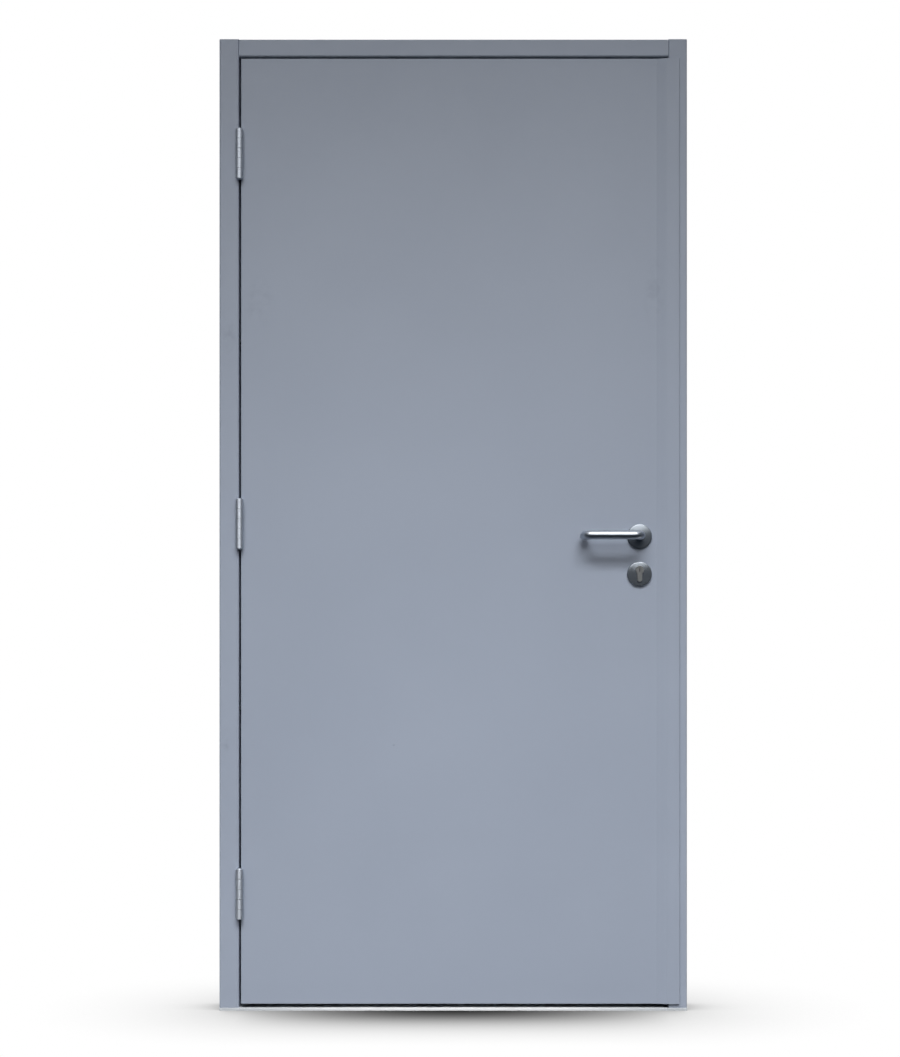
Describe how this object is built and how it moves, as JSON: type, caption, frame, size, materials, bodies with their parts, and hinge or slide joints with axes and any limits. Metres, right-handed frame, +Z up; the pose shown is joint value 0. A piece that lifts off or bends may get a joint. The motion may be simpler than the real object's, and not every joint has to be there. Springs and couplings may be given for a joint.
{
  "type": "steel security door",
  "caption": "Single leaf steel security door, opening outwards, hung in its folded steel frame with a threshold, and worked by lever handles over a keyed cylinder.",
  "frame": {"origin": "floor level, midway between the jambs' wall faces and midway through the frame's depth, on the underside of the threshold", "axes": "+Z up, +X to the right as seen from outside, +Y into the building, so that the leaf swings out towards -Y"},
  "size_m": [1, 0.161, 2.077],
  "materials": {
    "door_paint": "satin powder coat, blue grey",
    "galvanised_steel": "dull zinc coat",
    "stainless_steel": "satin brushed",
    "nickel_plated_brass": "satin nickel plate",
    "sill_aluminium": "mill finish, worn",
    "seal_rubber": "matt black",
    "core_board": "pale fibre board"
  },
  "bodies": {
    "frame": {"hinge_jamb": "door_paint", "lock_jamb": "door_paint", "head": "door_paint", "threshold": "sill_aluminium", "hinge_side_seal": "seal_rubber", "lock_side_seal": "seal_rubber", "head_seal": "seal_rubber", "threshold_seal": "seal_rubber", "hinge_side_straps": "galvanised_steel", "lock_side_straps": "galvanised_steel", "hinge_backplates": "galvanised_steel", "dog_bolt_keeps": "galvanised_steel", "strike_plate": "stainless_steel", "strike_box": "galvanised_steel", "bottom_hinge_frame_leaf": "stainless_steel", "middle_hinge_frame_leaf": "stainless_steel", "top_hinge_frame_leaf": "stainless_steel", "bottom_hinge_pin": "stainless_steel", "middle_hinge_pin": "stainless_steel", "top_hinge_pin": "stainless_steel"},
    "leaf": {"outer_skin": "door_paint", "inner_skin": "door_paint", "hinge_stile": "galvanised_steel", "lock_stile": "galvanised_steel", "top_cap": "galvanised_steel", "bottom_cap": "galvanised_steel", "leaf_core": "core_board", "dog_bolts": "stainless_steel", "bottom_hinge_door_leaf": "stainless_steel", "middle_hinge_door_leaf": "stainless_steel", "top_hinge_door_leaf": "stainless_steel", "mortice_lock": "stainless_steel", "latch_bolt": "stainless_steel", "dead_bolt": "stainless_steel", "lock_cylinder": "nickel_plated_brass", "cylinder_plugs": "nickel_plated_brass", "outer_rose": "stainless_steel", "inner_rose": "stainless_steel", "outer_escutcheon": "stainless_steel", "inner_escutcheon": "stainless_steel"},
    "handles": {"outer_lever": "stainless_steel", "inner_lever": "stainless_steel", "spindle": "stainless_steel"}
  },
  "joints": [
    {"name": "leaf_swing", "type": "hinge", "parent": "frame", "child": "leaf", "pos_m": [-0.45625, -0.059, 0], "axis": [0, 0, -1], "range_deg": [0, 175]},
    {"name": "lever_turn", "type": "hinge", "parent": "leaf", "child": "handles", "pos_m": [0.398, -0.027, 1.0135], "axis": [0, -1, 0], "range_deg": [0, 45], "stiffness_Nm_per_rad": 2.5, "springref_deg": -22.92}
  ]
}
